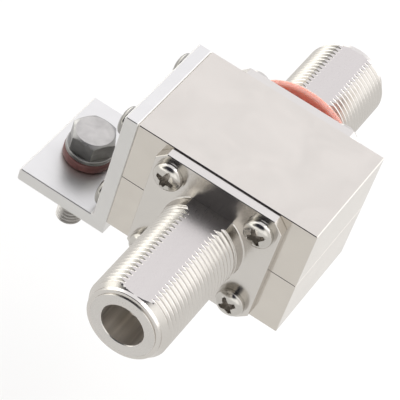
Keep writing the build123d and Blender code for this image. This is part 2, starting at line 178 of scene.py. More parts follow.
class ArrestorSizes(bpy.types.PropertyGroup):
    """Sizes of the details that the solids leave plain."""

    thread_pitch: length("Thread pitch", "From crest to crest on both barrels", 25.4 / 24)
    thread_depth: length("Thread depth", "From crest to root on both barrels", 0.46)
    thread_radius: length("Thread radius", "Over the crests", 15.875 / 2)
    flat_height: length("Flat height", "From the axis up to the milled flat", 7.05)
    collar_radius: length("Collar radius", "Plain collar between flange and thread", 8.1)
    front_collar: length("Front collar", "Length of the front jack's collar", 2.3)
    rear_collar: length("Rear collar", "Length of the rear jack's collar", 3.8)
    flange_thickness: length("Flange thickness", "Both square flanges", 2.0)
    flange_corner: length("Flange corner", "Chamfer across each corner of the flange", 1.9)
    flange_edge: length("Flange edge", "Small bevel round the flange", 0.1)
    lead_cone: length("Lead cone", "Length of the cone ahead of the first thread", 0.92)
    band_radius: length("Band radius", "Plain band between the cone and the lip", 7.02)
    band_start: length("Band start", "From the mouth back to where cone and band meet", 1.03)
    lip_radius: length("Lip radius", "Step at the mouth", 6.25)
    lip_length: length("Lip length", "How far the lip stands out", 0.25)
    socket_radius: length("Socket radius", "Inside the mouth", 4.1)
    socket_edge: length("Socket edge", "Bevel at the socket's rim", 0.12)
    socket_depth: length("Socket depth", "From the mouth to the insulator", 9.6)
    seat_radius: length("Seat radius", "Hole that holds the insulator", 5.2)
    screw_radius: length("Screw head radius", "Pan head screws", 2.75)
    screw_rim: length("Screw rim", "Straight wall of the pan head", 0.5)
    screw_height: length("Screw head height", "Pan head screws", 1.7)
    screw_shank: length("Screw shank radius", "Under the pan head", 1.5)
    recess_length: length("Recess length", "Cross recess, tip to tip", 3.4)
    recess_width: length("Recess width", "One blade of the cross recess, at the middle", 1.5)
    slot_width: length("Slot width", "Slot that crosses the whole head", 0.5)
    hex_flats: length("Hex flats", "Across the flats of bolt head and nut", 7.8)
    bolt_radius: length("Bolt radius", "Over the crests of the ground bolt", 2.5)
    bolt_pitch: length("Bolt pitch", "Thread of the ground bolt", 0.8)
    bolt_depth: length("Bolt thread depth", "Thread of the ground bolt", 0.4)


class ArrestorColours(bpy.types.PropertyGroup):
    """Base colours of the finishes."""

    satin: tint("Housing", "Satin nickel of the housing halves", (0.575, 0.54, 0.49))
    bright: tint("Jacks", "Bright nickel of the jacks", (0.575, 0.55, 0.515))
    milled: tint("Flats", "Milled flats along the threads", (0.525, 0.495, 0.47))
    faced: tint("Mouth faces", "Turned end faces of the jacks", (0.57, 0.55, 0.52))
    # Lighter than the jacks' nickel, which paints light inside the sockets
    bored: tint("Sockets", "Bored inside of the jacks", (0.77, 0.73, 0.69))
    screws: tint("Screws", "Polished pan head screws", (0.50, 0.48, 0.445))
    # Painted shade: a darker copy of the screws' steel for the bracket's screws
    side_screw_shade_colour: tint("Side screws", "Duller pan head screws of the bracket", (0.30, 0.29, 0.27))
    # Painted shade in the screw recesses, darker than the screws' steel
    recess: tint("Screw recesses", "Darker punched metal in the recess", (0.30, 0.27, 0.235))
    aluminium: tint("Bracket", "Matte aluminium angle", (0.61, 0.60, 0.58))
    bolt: tint("Ground bolt", "Dull plated steel", (0.42, 0.405, 0.385))
    # Painted shade: a darker copy of the bolt's zinc for the head's sides and the flat washer
    # under it
    wrench_shade_colour: tint("Wrench faces", "Sides of the bolt head and its washer", (0.27, 0.265, 0.255))
    gasket: tint("Gasket", "Red orange silicone", (0.51, 0.245, 0.205))
    maroon: tint("Seal washer", "Dark red rubber", (0.14, 0.052, 0.046))
    insulator: tint("Insulators", "White fluoropolymer", (0.80, 0.78, 0.74))
    contact: tint("Contacts", "Plated contact metal", (0.90, 0.86, 0.78))
    brass: tint("Conductor", "Machined brass", (0.70, 0.50, 0.20))
    ceramic: tint("Tube ceramic", "Glazed ceramic", (0.84, 0.82, 0.77))
    electrode: tint("Tube electrodes", "Nickel iron", (0.55, 0.54, 0.52))
    spring: tint("Spring", "Spring steel", (0.42, 0.42, 0.41))


def sizes():
    """Sizes of the settings, in metres."""
    return bpy.context.scene.arrestor_sizes


def colours():
    """Colours of the settings."""
    return bpy.context.scene.arrestor_colours


def mm(name):
    """One size of the settings in millimetres."""
    return getattr(sizes(), name) / MM


# Surfaces worked out on grids


def lattice(points):
    """Grid of points (rows, columns, 3) as vertices and quads between neighbours."""
    rows, columns = points.shape[:2]
    index = np.arange(rows * columns).reshape(rows, columns)
    quads = np.stack([index[:-1, :-1], index[:-1, 1:], index[1:, 1:], index[1:, :-1]], axis=-1)
    return points.reshape(-1, 3), quads.reshape(-1, 4)


def turned(radius, height, theta):
    """Point at radius and height for each angle: (r cos a, r sin a, h), axis along Z."""
    radius, height, theta = np.broadcast_arrays(radius, height, theta)
    return np.stack([radius * np.cos(theta), radius * np.sin(theta), height], axis=-1)


def smooth(value):
    """Zero below 0, one above 1, and the curve 3t2 - 2t3 between."""
    t = np.clip(value, 0, 1)
    return t * t * (3 - 2 * t)


def thread_rows(theta, start, end, pitch, depth, crest, limit):
    """Screw thread as radius and height: rows climb by one pitch per turn, so each row
    follows the helix, and the radius is the crest less the groove at that phase, or the
    limit at that angle and height where it is smaller. The groove deepens over the first
    pitch. Where a flat cuts the crest, rows move to the line on which flat and flank meet."""
    level = (crest - np.broadcast_to(limit(theta, start), theta.shape)) / depth
    last_phase = ROOT_MIDDLE - 0.03
    cut = np.clip(np.interp(level, HALF_GROOVE, HALF_PHASES), CREST_EDGE, last_phase)

    def moved(phases):
        phase = phases[:, None]
        past = (phase - CREST_EDGE) / (ROOT_MIDDLE - CREST_EDGE)
        return np.where(past > 0, cut + past * (ROOT_MIDDLE - cut), phase * cut / CREST_EDGE)

    one_turn = np.concatenate([moved(HALF_PHASES), 2 * ROOT_MIDDLE - moved(HALF_PHASES[:1:-1])])
    turns = np.arange(int(np.ceil((end - start) / pitch)) + 1)
    rows = start + pitch * (turns[:, None, None] + one_turn).reshape(-1, len(theta))
    height = np.clip(rows - pitch * theta[None, :] / TURN, start, end)
    phase = np.mod((height - start) / pitch + theta[None, :] / TURN, 1.0)
    phase = np.minimum(phase, np.mod(2 * ROOT_MIDDLE - phase, 1.0))
    groove = depth * np.interp(phase, HALF_PHASES, HALF_GROOVE)
    radius = crest - groove * np.clip((height - start) / pitch, 0, 1)
    return np.minimum(radius, limit(theta[None, :], height)), height


def make_piece(name, grids, material, replaced, others=()):
    """Joins grids of points in millimetres into one closed piece on the frame's body.
    Others are further finishes, each with the test that says which face centres take it."""
    points, quads, first = [], [], 0
    for grid in grids:
        vertices, faces = lattice(grid)
        points.append(vertices)
        quads.append(faces + first)
        first += len(vertices)
    mesh = bpy.data.meshes.new(name)
    mesh.from_pydata((np.concatenate(points) * MM).tolist(), [], np.concatenate(quads).tolist())
    shell = bmesh.new()
    shell.from_mesh(mesh)
    bmesh.ops.remove_doubles(shell, verts=shell.verts, dist=MERGE)
    bmesh.ops.dissolve_degenerate(shell, edges=shell.edges, dist=SHORTEST_EDGE)
    bmesh.ops.recalc_face_normals(shell, faces=shell.faces)
    open_edges = sum(1 for edge in shell.edges if len(edge.link_faces) != 2)
    shell.to_mesh(mesh)
    shell.free()
    if open_edges:
        raise RuntimeError(f"{name} has {open_edges} edges that aren't closed")
    mesh.shade_smooth()
    mesh.set_sharp_from_angle(angle=SHARP)
    mesh.materials.append(material)
    centres = np.zeros(len(mesh.polygons) * 3, np.float32)
    mesh.polygons.foreach_get("center", centres)
    centres = centres.reshape(-1, 3).astype(float) / MM
    chosen = np.zeros(len(centres), np.int32)
    for number, (extra, takes) in enumerate(others, 1):
        mesh.materials.append(extra)
        chosen[takes(centres)] = number
    mesh.polygons.foreach_set("material_index", chosen)
    piece = bpy.data.objects.new(name, mesh)
    bpy.context.scene.collection.objects.link(piece)
    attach(piece, "root")
    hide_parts(*replaced)


def onto(grid, place, across, up, out):
    """Carries a grid's X, Y and Z onto three directions, from a place in millimetres."""
    return np.array(place) + grid @ np.array([across, up, out], float)


# Materials


def add_node(tree, kind, **values):
    """New node of a kind, with the values of its own settings."""
    node = tree.nodes.new(kind)
    for key, value in values.items():
        setattr(node, key, value)
    return node


def feed(tree, socket, value):
    """Links a socket to another node's, or writes a number or a colour on it."""
    if isinstance(value, bpy.types.NodeSocket):
        tree.links.new(value, socket)
    elif isinstance(value, float):
        socket.default_value = value
    else:
        socket.default_value = (*value, 1.0)


def mixed(tree, factor, first, second, kind="MIX"):
    """Two colours mixed by a factor, each of the three a socket or a plain value."""
    node = add_node(tree, "ShaderNodeMix", data_type="RGBA", blend_type=kind)
    feed(tree, node.inputs[MIX_FACTOR], factor)
    feed(tree, node.inputs[MIX_FIRST], first)
    feed(tree, node.inputs[MIX_SECOND], second)
    return node.outputs[MIX_RESULT]


def noise(tree, scale, detail, stretch):
    """Noise on object coordinates, its cells about one over scale metres."""
    coords = add_node(tree, "ShaderNodeTexCoord")
    mapping = add_node(tree, "ShaderNodeMapping")
    mapping.inputs["Scale"].default_value = stretch
    tree.links.new(coords.outputs["Object"], mapping.inputs["Vector"])
    texture = add_node(tree, "ShaderNodeTexNoise")
    texture.inputs["Scale"].default_value = scale
    texture.inputs["Detail"].default_value = detail
    texture.inputs["Distortion"].default_value = 0.7
    tree.links.new(mapping.outputs["Vector"], texture.inputs["Vector"])
    return texture.outputs["Fac"]


def spread(tree, value, low, high):
    """Carries the middle of a noise, where most of it is, onto the range from low to high."""
    node = add_node(tree, "ShaderNodeMapRange")
    node.inputs["From Min"].default_value = 0.3
    node.inputs["From Max"].default_value = 0.7
    node.inputs["To Min"].default_value = low
    node.inputs["To Max"].default_value = high
    tree.links.new(value, node.inputs["Value"])
    return node.outputs["Result"]


def bumps(tree, layers):
    """Bump nodes in a chain: each layer is a height and its depth in metres."""
    normal = None
    for value, depth in layers:
        node = add_node(tree, "ShaderNodeBump")
        node.inputs["Strength"].default_value = 1.0
        node.inputs["Distance"].default_value = depth
        tree.links.new(value, node.inputs["Height"])
        if normal is not None:
            tree.links.new(normal, node.inputs["Normal"])
        normal = node.outputs["Normal"]
    return normal


def finish(
    name, colour, metallic, rough, tone, cloud, grain, depth, stretch=(1, 1, 1), inner=0.0
):
    """A finish: clouds vary its colour by tone, grain varies its roughness between the two
    of rough, both its relief. Cloud and grain are the two noises' scales, depth is the relief
    of each in metres, and inner is how much light goes in through its skin and out again."""
    material = bpy.data.materials.new(name)
    material.use_nodes = True
    tree = material.node_tree
    shader = tree.nodes["Principled BSDF"]
    shader.inputs["Metallic"].default_value = metallic
    if metallic == METAL:
        shader.inputs["Specular Tint"].default_value = (1.0, 0.995, 0.99, 1.0)
    if inner:
        shader.inputs["Subsurface Weight"].default_value = inner
        shader.inputs["Subsurface Radius"].default_value = (1.0, 0.6, 0.5)
        shader.inputs["Subsurface Scale"].default_value = 0.006
    clouds = noise(tree, cloud, 2.0, stretch)
    grains = noise(tree, grain, 3.0, stretch)
    darker = tuple(c * (1 - tone) for c in colour)
    lighter = tuple(min(1.0, c * (1 + tone)) for c in colour)
    factor = spread(tree, clouds, 0.0, 1.0)
    tree.links.new(mixed(tree, factor, darker, lighter), shader.inputs["Base Color"])
    tree.links.new(spread(tree, grains, *rough), shader.inputs["Roughness"])
    normal = bumps(tree, [(clouds, depth[0]), (grains, depth[1])])
    tree.links.new(normal, shader.inputs["Normal"])
    return material


def make_finishes():
    """The finishes of the record's slots, by slot name, and those of the milled, bored and turned
    places that share a slot, and of the painted shade in the screw recesses, on the bracket's
    screws and on the bolt head's sides and washer. The bored finish's lighter colour and its
    streaks are painted light and painted reflections."""
    c = colours()
    return {
        "satin_plating": finish(
            "satin_nickel", c.satin, METAL, (0.16, 0.22), 0.035, 120, 2600, (1.2e-5, 2e-7)
        ),
        "bright_plating": finish(
            "bright_nickel", c.bright, METAL, (0.20, 0.27), 0.02, 120, 3000, (3e-6, 2e-7)
        ),
        "milled_plating": finish(
            "milled_nickel", c.milled, METAL, (0.27, 0.30), 0.01, 150, 3000, (2e-6, 0.0),
            stretch=(4, 0.3, 1)
        ),
        "screw_plating": finish(
            "polished_steel", c.screws, METAL, (0.14, 0.22), 0.05, 500, 5000, (4e-6, 5e-7)
        ),
        # Painted shade: the flange screws' steel made darker for the bracket's screws
        "side_screw_painted_shade": finish(
            "steel_painted_shade", c.side_screw_shade_colour, METAL, (0.14, 0.22), 0.05, 500, 5000, (4e-6, 5e-7)
        ),
        # Rougher nickel of the sockets, partly its own finish: the lighter colour is painted
        # light, and the lengthwise streaks in its tone are painted reflections
        "bored_painted_light": finish(
            "bored_nickel_painted_light", c.bored, METAL, (0.34, 0.50), 0.24, 500, 1400, (8e-6, 6e-6),
            stretch=(1, 0.05, 1)
        ),
        "faced_plating": finish(
            "faced_nickel", c.faced, METAL, (0.26, 0.36), 0.02, 300, 4000, (1e-6, 1e-6)
        ),
        # Painted shade in the screw recesses, part metal
        "recess_shade": finish(
            "recess_shade", c.recess, PART_METAL, (0.32, 0.5), 0.3, 900, 5000, (5e-6, 5e-6)
        ),
        "bracket_aluminium": finish(
            "matte_aluminium", c.aluminium, METAL, (0.35, 0.37), 0.02, 150, 4500, (2e-6, 0.0)
        ),
        "bolt_steel": finish(
            "dull_zinc", c.bolt, METAL, (0.34, 0.48), 0.10, 420, 3500, (8e-6, 3e-6)
        ),
        # Painted shade: the bolt's zinc made darker for the head's sides and the flat washer
        "wrench_painted_shade": finish(
            "zinc_painted_shade", c.wrench_shade_colour, METAL, (0.30, 0.42), 0.12, 600, 3500, (8e-6, 3e-6)
        ),
        "contact_plating": finish(
            "contact_plate", c.contact, METAL, (0.42, 0.52), 0.04, 300, 4000, (2e-6, 5e-7)
        ),
        "conductor_brass": finish(
            "machined_brass", c.brass, METAL, (0.2, 0.32), 0.06, 200, 3000, (2e-6, 2e-6),
            stretch=(1, 0.1, 1)
        ),
        "tube_electrode": finish(
            "nickel_iron", c.electrode, METAL, (0.25, 0.35), 0.04, 300, 3000, (2e-6, 1e-6)
        ),
        "spring_steel": finish(
            "spring_steel", c.spring, METAL, (0.25, 0.38), 0.06, 300, 3000, (2e-6, 1e-6)
        ),
        "tube_ceramic": finish(
            "glazed_ceramic", c.ceramic, NO_METAL, (0.15, 0.25), 0.02, 200, 2500, (3e-6, 1e-6)
        ),
        "white_insulator": finish(
            "white_fluoropolymer", c.insulator, NO_METAL, (0.4, 0.5), 0.02, 250, 3000,
            (3e-6, 2e-6)
        ),
        "red_silicone": finish(
            "red_silicone", c.gasket, NO_METAL, (0.55, 0.68), 0.05, 260, 4200, (2.5e-5, 5e-6),
            inner=0.85
        ),
        "maroon_washer": finish(
            "maroon_rubber", c.maroon, NO_METAL, (0.4, 0.55), 0.15, 320, 4200, (2e-5, 6e-6)
        ),
    }


FINISHES = {}


def finish_of(slot):
    """The finish of a slot, made the first time that it is asked for."""
    if not FINISHES:
        FINISHES.update(make_finishes())
    return FINISHES[slot]


# Pieces


def flange_half():
    """Half of the square flange's side in millimetres."""
    low, high = corners("front_jack")
    return (high[0] - low[0]) / 2


def flange_reach(theta, inset):
    """Radius of a square with cut corners, all drawn in by inset, at each angle."""
    half = flange_half()
    side = (half - inset) / np.maximum(np.abs(np.cos(theta)), np.abs(np.sin(theta)))
    across = 2 * half - mm("flange_corner") - inset * np.sqrt(2)
    return np.minimum(side, across / (np.abs(np.cos(theta)) + np.abs(np.sin(theta))))


def jack_angles():
    """Even angles, closer at the flat's serrated edges, with those of the flange's corners
    and of the flat's edges on crest, collar and fillet among them."""
    half = flange_half()
    corner = np.arctan2(half - mm("flange_corner"), half)
    quarter = np.array([corner, np.pi / 2 - corner])
    collar = mm("collar_radius")
    radii = np.array([mm("thread_radius"), collar, collar + COLLAR_FILLET])
    edges = np.arcsin(mm("flat_height") / radii)
    turns = np.arange(4)[:, None] * np.pi / 2
    special = np.concatenate([(quarter + turns).ravel(), edges, np.pi - edges])
    before, past, count = 0.02, 0.17, 30
    teeth = np.linspace(edges[0] - before, edges[0] + past, count)
    even = np.linspace(0, TURN, JACK_COLUMNS)
    even = np.sort(np.concatenate([even, teeth, np.pi - teeth]))
    closest = 0.003
    near = np.abs(even[:, None] - special[None, :]).min(axis=1) < closest
    near[[0, -1]] = False
    return np.sort(np.concatenate([even[~near], special]))


def jack_surface(collar, reach):
    """Whole jack as one closed turned surface: from the insulator seat out along the
    flange's back, over its octagon, up the collar and the thread, over the lip and down
    the socket. Height runs from the body's face to the mouth."""
    theta = jack_angles()
    flange = mm("flange_thickness")
    edge = mm("flange_edge")
    start = flange + collar
    lip = mm("lip_radius")
    lip_foot = reach - mm("lip_length")
    crest = mm("thread_radius")
    band = mm("band_radius")
    cone_end = reach - mm("band_start")
    cone_start = cone_end - mm("lead_cone")
    slope = (crest - band) / mm("lead_cone")
    socket = mm("socket_radius")
    seat = mm("seat_radius")
    floor = reach - mm("socket_depth")

    least = 0.5
    sine = np.maximum(np.sin(theta), least)
    flat = np.where(np.sin(theta) > least, mm("flat_height") / sine, np.inf)

    def limit(_, height):
        """The milled flat, or the cone ahead of the thread."""
        return np.minimum(flat, crest - np.maximum(0, height - cone_start) * slope)

    def ring(radius, height):
        """One row of the surface."""
        return np.broadcast_to(radius, theta.shape)[None, :], np.full((1, len(theta)), height)

    def milled(radius, height):
        """One row that the flat cuts."""
        return ring(np.minimum(radius, flat), height)

    pitch, depth = mm("thread_pitch"), mm("thread_depth")
    around = mm("collar_radius")
    bend = np.linspace(0, np.pi / 2, FILLET_ROWS)
    side, up = COLLAR_FILLET * (1 - np.sin(bend)), COLLAR_FILLET * (1 - np.cos(bend))
    foot = [milled(around + s, flange + u) for s, u in zip(side, up)]
    rows = [
        ring(seat, 0.0),
        ring(flange_reach(theta, edge), 0.0),
        ring(flange_reach(theta, 0.0), edge),
        ring(flange_reach(theta, 0.0), flange - edge),
        ring(flange_reach(theta, edge), flange),
        *foot,
        milled(around, start - STEP_BEVEL),
        milled(around - STEP_BEVEL, start),
        thread_rows(theta, start, cone_end, pitch, depth, crest, limit),
        ring(band, lip_foot - STEP_BEVEL),
        ring(band - STEP_BEVEL, lip_foot),
        ring(lip, lip_foot),
        ring(lip, reach - LIP_BEVEL),
        ring(lip - LIP_BEVEL, reach),
        ring(socket + mm("socket_edge"), reach),
        ring(socket, reach - mm("socket_edge")),
        ring(socket, floor),
        ring(seat, floor),
        ring(seat, 0.0),
    ]
    radius = np.concatenate([r for r, _ in rows])
    height = np.concatenate([h for _, h in rows])
    return turned(radius, height, theta[None, :])


def dome_height(radius):
    """Height of a pan head over its radius: a half ellipse that stands on the rim."""
    rim, tall = mm("screw_rim"), mm("screw_height")
    bulge = np.sqrt(np.clip(1 - (radius / mm("screw_radius")) ** 2, 0, 1))
    return rim + (tall - rim) * bulge


def dome_surface(turn, shank):
    """Pan head screw: the dome less the deeper of a cross recess, which deepens to its
    middle, and a slot with a flat floor, then the rim and the shank."""
    big, thin = mm("screw_radius"), mm("screw_shank")
    theta = np.linspace(0, TURN, COLUMNS)[None, :]
    radius = (big * np.sin(np.linspace(0, np.pi / 2, DOME_ROWS)))[:, None]
    x = radius * np.cos(theta - turn)
    y = radius * np.sin(theta - turn)
    dome = np.broadcast_to(dome_height(radius), x.shape)
    half, blade = mm("recess_length") / 2, mm("recess_width") / 2

    def arm(along, aside):
        """How far a point is outside a blade that narrows to its tips, less than 0 inside."""
        narrower = 1 - BLADE_TIP * np.abs(along) / half
        return np.maximum(np.abs(along) - half, np.abs(aside) - blade * narrower)

    inside = -np.minimum(arm(x, y), arm(y, x))
    cross = OUTER_DEPTH * smooth(inside / OUTER_RUN) + INNER_DEPTH * smooth(inside / INNER_RUN)
    slot = smooth((mm("slot_width") / 2 - np.abs(y)) / SLOT_RUN)
    slot = slot * np.clip(dome - (mm("screw_height") - SLOT_DEPTH), 0, None)
    top = turned(radius, dome - np.maximum(cross, slot), theta)
    bevel = 0.06
    rows = [(big, bevel), (big - bevel, 0.0), (thin, 0.0), (thin, -shank), (0.0, -shank)]
    return np.concatenate([top, profile(rows, theta)])


def profile(rows, theta):
    """Turned surface through pairs of radius and height, at each angle."""
    rows = np.array(rows)
    return turned(rows[:, :1], rows[:, 1:], theta)


def ring_surface(inner, outer, low, high, edge, swell=0.0, columns=COLUMNS):
    """Ring with rounded edges: a rounded rectangle carried round the axis. Swell draws the
    outer wall in by a slow wave with three and seven crests, as on a soft ring."""
    theta = np.linspace(0, TURN, columns)
    bend = np.linspace(0, np.pi / 2, ROUNDING_ROWS)
    centres = [(outer - edge, low + edge, -np.pi / 2), (outer - edge, high - edge, 0.0)]
    centres += [(inner + edge, high - edge, np.pi / 2), (inner + edge, low + edge, np.pi)]
    radius = np.concatenate([r + edge * np.cos(bend + b) for r, _, b in centres])
    height = np.concatenate([h + edge * np.sin(bend + b) for _, h, b in centres])
    radius = np.append(radius, radius[0])[:, None]
    height = np.append(height, height[0])[:, None]
    wave = swell * (0.6 * np.sin(3 * theta + 0.8) + 0.4 * np.sin(7 * theta))[None, :]
    outward = np.clip((radius - inner) / (outer - inner), 0, 1)
    return turned(radius + wave * outward - swell * outward, height, theta[None, :])


def hexagon(theta, flats):
    """Radius of a hexagon with flats this far apart, a corner at angle zero."""
    return flats / 2 / np.cos(np.mod(theta, np.pi / 3) - np.pi / 6)


def hex_rows(theta, low, high, both_ends):
    """Wall of a hexagon under a 30 degree cone on its top, or on both ends: the smaller of
    the radii. Rows crowd at the ends, where cone and hexagon meet in arcs."""
    flats = mm("hex_flats")
    crown = flats / 2 * HEX_CROWN
    step = (high - low) * (1 - np.cos(np.linspace(0, np.pi, HEX_ROWS))) / 2
    height = (low + step)[:, None]
    radius = np.minimum(hexagon(theta, flats), crown + (high - height) / np.tan(CROWN_ANGLE))
    if both_ends:
        radius = np.minimum(radius, crown + (height - low) / np.tan(CROWN_ANGLE))
    return radius, np.broadcast_to(height, radius.shape)


def hex_angles():
    """Even angles that hold the six corners."""
    return np.linspace(0, TURN, HEX_COLUMNS)


def bolt_surface(low, under_head, top):
    """Hex bolt from its top down: the dish in its crown, cone and hexagon, the face under
    the head, and the threaded shank with a chamfered end."""
    theta = hex_angles()
    across = theta[None, :]
    radius, height = hex_rows(across, under_head, top, False)
    head = turned(radius[::-1], height[::-1], across)
    crest = mm("bolt_radius")
    end = -low
    chamfer = 0.5

    def limit(_, along):
        """The crest, and the chamfer at the end."""
        return crest - np.clip(along - (end - chamfer), 0, chamfer)

    pitch, depth = mm("bolt_pitch"), mm("bolt_depth")
    radius, along = thread_rows(theta, -under_head, end, pitch, depth, crest, limit)
    sunk = top - DISH_DEPTH
    dish = profile([(0.0, sunk), (DISH_FLOOR, sunk), (DISH_RIM, top)], across)
    foot = profile([(0.0, low)], across)
    return np.concatenate([dish, head, turned(radius, -along, across), foot])


def nut_surface(low, high):
    """Hex nut, coned on both faces, with a plain hole round the bolt, sunk at both ends."""
    theta = hex_angles()[None, :]
    wall = turned(*hex_rows(theta, low, high, True), theta)
    hole = mm("bolt_radius") + NUT_GAP
    sink = 0.3
    rows = [(hole + sink, high), (hole, high - sink), (hole, low + sink), (hole + sink, low)]
    return np.concatenate([wall, profile(rows, theta), wall[:1]])


class ARRESTOR_OT_jacks(bpy.types.Operator):
    """Front and rear jack with their helical threads and milled flats"""

    bl_idname = "arrestor.make_jacks"
    bl_label = "Make the jacks"

    def execute(self, context):
        metal = finish_of("bright_plating")
        others = [
            # The socket's wall takes the lighter colour and streaks of painted light and painted
            # reflections
            (finish_of("bored_painted_light"), self.in_bore),
            (finish_of("faced_plating"), self.on_mouth),
            (finish_of("milled_plating"), self.on_flat),
        ]
        low, high = corners("front_jack")
        grid = jack_surface(mm("front_collar"), high[1] - low[1])
        grid = onto(grid, (0, high[1], 0), (-1, 0, 0), (0, 0, 1), (0, -1, 0))
        make_piece("front_jack_threaded", [grid], metal, ["front_jack"], others)
        low, high = corners("rear_jack")
        grid = jack_surface(mm("rear_collar"), high[1] - low[1])
        grid = onto(grid, (0, low[1], 0), (1, 0, 0), (0, 0, 1), (0, 1, 0))
        make_piece("rear_jack_threaded", [grid], metal, ["rear_jack"], others)
        return {"FINISHED"}

    @staticmethod
    def in_bore(centres):
        """Faces on the socket's wall, by their distance from the connector axis."""
        return np.hypot(centres[:, 0], centres[:, 2]) < mm("socket_radius") + BORE_SLACK

    @staticmethod
    def on_flat(centres):
        """Faces on the milled flat, by their height over the axis."""
        return np.abs(centres[:, 2] - mm("flat_height")) < FLAT_SLACK

    @staticmethod
    def on_mouth(centres):
        """Faces at the very ends of both jacks."""
        ends = (corners("front_jack")[0][1], corners("rear_jack")[1][1])
        return np.minimum(*[np.abs(centres[:, 1] - end) for end in ends]) < END_SLACK


class ARRESTOR_OT_screws(bpy.types.Operator):
    """Pan head screws of both flanges and of the bracket, each turned its own way"""

    bl_idname = "arrestor.make_screws"
    bl_label = "Make the screws"

    def execute(self, context):
        self.group("front_flange_screws", 1, -1, (0, 0, -1), 0.55)
        self.group("rear_flange_screws", 1, 1, (0, 0, 1), 1.35)
        self.group("bracket_screws", 0, -1, (0, 0, 1), 0.2)
        return {"FINISHED"}

    def group(self, node, axis, way, side, first_turn):
        """Four screws at the corners of the CAD node's box, with their heads along an axis, one
        way or the other, and each turned further than the one before it."""
        low, high = corners(node)
        middle = (low + high) / 2
        spacing = (high - low)[2] - 2 * mm("screw_radius")
        under = (high[axis] if way > 0 else low[axis]) - way * mm("screw_height")
        shank = (high - low)[axis] - mm("screw_height")
        out = np.zeros(3)
        out[axis] = way
        across = np.cross(np.array(side, float), out)
        grids, places = [], []
        further = 0.83
        for count, (a, b) in enumerate([(1, 1), (1, -1), (-1, 1), (-1, -1)]):
            place = middle + spacing / 2 * (a * np.abs(side) + b * np.abs(across))
            place[axis] = under
            grid = dome_surface(first_turn + further * count, shank)
            grids.append(onto(grid, place, across, np.cross(out, across), out))
            places.append(place)

        def in_recess(centres):
            """Faces well under the dome, near the middle of the nearest screw."""
            apart = centres[:, None, :] - np.array(places)[None, :, :]
            above = apart @ out
            aside = np.sqrt(np.maximum((apart ** 2).sum(axis=2) - above ** 2, 0))
            nearest = aside.argmin(axis=1)[:, None]
            above = np.take_along_axis(above, nearest, 1)[:, 0]
            aside = np.take_along_axis(aside, nearest, 1)[:, 0]
            deep = above < dome_height(aside) - RECESS_SHADE
            return (above > 0) & (aside < mm("recess_length") / 2) & deep

        # Faces deep in the recess take the darker colour of painted shade
        recess = [(finish_of("recess_shade"), in_recess)]
        # The bracket's screws take the darker copy of the steel, painted shade
        steel = finish_of("side_screw_painted_shade" if axis == 0 else "screw_plating")
        make_piece(node + "_heads", grids, steel, [node], recess)


class ARRESTOR_OT_gasket(bpy.types.Operator):
    """Soft red panel gasket on the rear collar"""

    bl_idname = "arrestor.make_gasket"
    bl_label = "Make the gasket"

    def execute(self, context):
        low, high = corners("panel_gasket")
        inner = mm("collar_radius") + GASKET_GAP
        edge, swell = 0.4, 0.06
        grid = ring_surface(inner, high[0], low[1], high[1], edge, swell, GASKET_COLUMNS)
        grid = onto(grid, (0, 0, 0), (1, 0, 0), (0, 0, 1), (0, 1, 0))
        silicone = finish_of("red_silicone")
        make_piece("soft_gasket", [grid], silicone, ["panel_gasket"])
        return {"FINISHED"}


class ARRESTOR_OT_ground_bolt(bpy.types.Operator):
    """Threaded ground bolt with its nut, flat washer and seal washer"""

    bl_idname = "arrestor.make_ground_bolt"
    bl_label = "Make the ground bolt"

    def execute(self, context):
        steel = finish_of("bolt_steel")
        # The head's sides and the flat washer take a darker copy of the zinc, which paints shade
        # on them
        dark = finish_of("wrench_painted_shade")
        low, high = corners("ground_bolt")
        flat_low, flat_high = corners("bolt_flat_washer")
        seal_low, seal_high = corners("bolt_seal_washer")
        nut_low, nut_high = corners("ground_nut")
        centre = ((low[0] + high[0]) / 2, (low[1] + high[1]) / 2, 0)
        hole = mm("bolt_radius") + WASHER_GAP
        bolt = bolt_surface(low[2], flat_high[2], high[2]) + centre

        def on_side(centres):
            """Faces round the head's crown, by their distance from the axis."""
            apart = centres - centre
            outside = np.hypot(apart[:, 0], apart[:, 1]) > mm("hex_flats") / 2 * HEX_CROWN
            return outside & (centres[:, 2] > flat_high[2] + END_SLACK)

        sides = [(dark, on_side)]
        make_piece("hex_bolt", [bolt], steel, ["ground_bolt"], sides)
        nut = nut_surface(nut_low[2], nut_high[2]) + centre
        make_piece("hex_nut", [nut], steel, ["ground_nut"])
        wide = (flat_high - flat_low)[0] / 2
        edge = 0.22
        ring = ring_surface(hole, wide, flat_low[2], flat_high[2], edge) + centre
        make_piece("flat_washer", [ring], dark, ["bolt_flat_washer"])
        wide = (seal_high - seal_low)[0] / 2
        edge, swell = 0.5, 0.03
        ring = ring_surface(hole, wide, seal_low[2], seal_high[2], edge, swell) + centre
        rubber = finish_of("maroon_washer")
        make_piece("seal_washer", [ring], rubber, ["bolt_seal_washer"])
        return {"FINISHED"}


class ARRESTOR_OT_finishes(bpy.types.Operator):
    """Procedural finishes on the CAD nodes that stay as they are"""

    bl_idname = "arrestor.dress_nodes"
    bl_label = "Dress the plain nodes"

    def execute(self, context):
        for part in frame["record"]["subparts"]:
            node = frame["nodes"][part["node"]]
            if node.hide_render:
                continue
            node.data.materials.clear()
            node.data.materials.append(finish_of(part["material_slot"]))
        return {"FINISHED"}


# Stage


def aimed(direction):
    """A direction with length one."""
    return Vector(direction).normalized()


